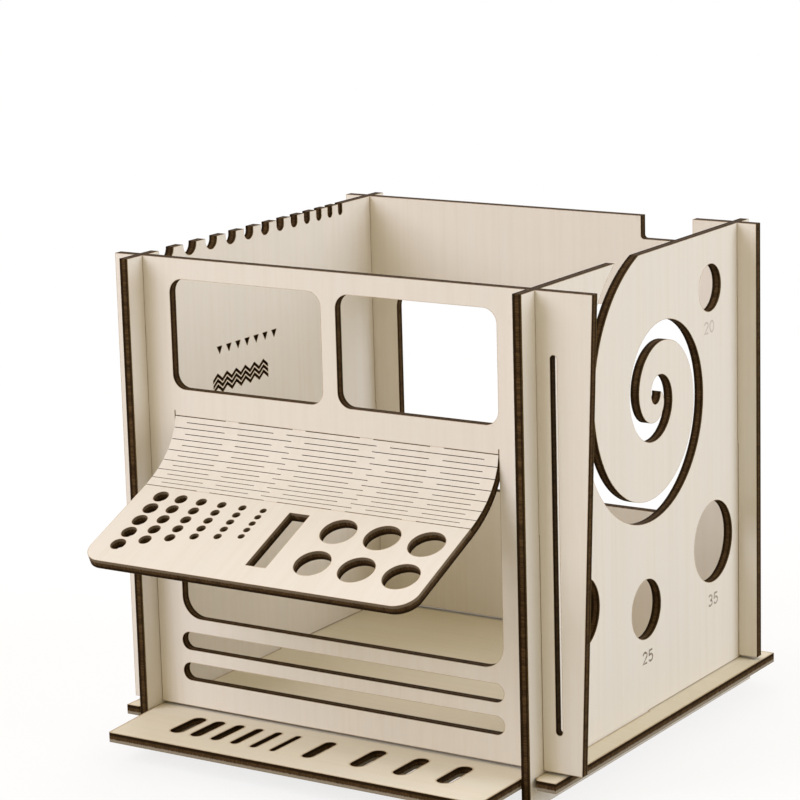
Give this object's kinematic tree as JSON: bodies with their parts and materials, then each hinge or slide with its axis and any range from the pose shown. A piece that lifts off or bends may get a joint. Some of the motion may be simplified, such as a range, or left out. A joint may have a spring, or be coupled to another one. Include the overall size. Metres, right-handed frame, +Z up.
{
  "type": "knitting box",
  "caption": "Open-topped knitting box of slotted plywood sheets, with a curling yarn slot, a tool tray and a shelf that swings out on a bending slit strip.",
  "frame": {"origin": "centre of the underside of the whole part's bounding box, on the table", "axes": "+X to the box's right seen from the front, where the yarn slot is, +Y to the back, +Z up"},
  "size_m": [0.2224, 0.2472, 0.2025],
  "materials": {
    "plywood": "pale bare plywood with dark burnt cut edges"
  },
  "bodies": {
    "box": {"base_plate": "plywood", "front_panel": "plywood", "back_panel": "plywood", "left_wall": "plywood", "right_wall": "plywood"},
    "lath_1": {"lath_1": "plywood"},
    "lath_2": {"lath_2": "plywood"},
    "lath_3": {"lath_3": "plywood"},
    "lath_4": {"lath_4": "plywood"},
    "lath_5": {"lath_5": "plywood"},
    "lath_6": {"lath_6": "plywood"},
    "lath_7": {"lath_7": "plywood"},
    "shelf": {"shelf": "plywood"}
  },
  "joints": [
    {"name": "bend_1", "type": "hinge", "parent": "box", "child": "lath_1", "pos_m": [-0.00725, -0.05739, 0.1373], "axis": [-1, 0, 0], "range_deg": [-13.25, 0]},
    {"name": "bend_2", "type": "hinge", "parent": "lath_1", "child": "lath_2", "pos_m": [-0.00725, -0.05849, 0.13263], "axis": [-1, 0, 0], "range_deg": [-11.85, 0]},
    {"name": "bend_3", "type": "hinge", "parent": "lath_2", "child": "lath_3", "pos_m": [-0.00725, -0.06052, 0.12828], "axis": [-1, 0, 0], "range_deg": [-10.45, 0]},
    {"name": "bend_4", "type": "hinge", "parent": "lath_3", "child": "lath_4", "pos_m": [-0.00725, -0.0633, 0.12436], "axis": [-1, 0, 0], "range_deg": [-9.05, 0]},
    {"name": "bend_5", "type": "hinge", "parent": "lath_4", "child": "lath_5", "pos_m": [-0.00725, -0.06666, 0.12093], "axis": [-1, 0, 0], "range_deg": [-7.65, 0]},
    {"name": "bend_6", "type": "hinge", "parent": "lath_5", "child": "lath_6", "pos_m": [-0.00725, -0.07044, 0.11798], "axis": [-1, 0, 0], "range_deg": [-6.25, 0]},
    {"name": "bend_7", "type": "hinge", "parent": "lath_6", "child": "lath_7", "pos_m": [-0.00725, -0.07452, 0.11545], "axis": [-1, 0, 0], "range_deg": [-4.85, 0]},
    {"name": "bend_8", "type": "hinge", "parent": "lath_7", "child": "shelf", "pos_m": [-0.00725, -0.0788, 0.11327], "axis": [-1, 0, 0], "range_deg": [-3.4, 0]}
  ],
  "couplings": [
    {"joint": "bend_1", "follows": "bend_8", "ratio": 3.8824},
    {"joint": "bend_2", "follows": "bend_8", "ratio": 3.4706},
    {"joint": "bend_3", "follows": "bend_8", "ratio": 3.0588},
    {"joint": "bend_4", "follows": "bend_8", "ratio": 2.6471},
    {"joint": "bend_5", "follows": "bend_8", "ratio": 2.2353},
    {"joint": "bend_6", "follows": "bend_8", "ratio": 1.8235},
    {"joint": "bend_7", "follows": "bend_8", "ratio": 1.4118}
  ]
}
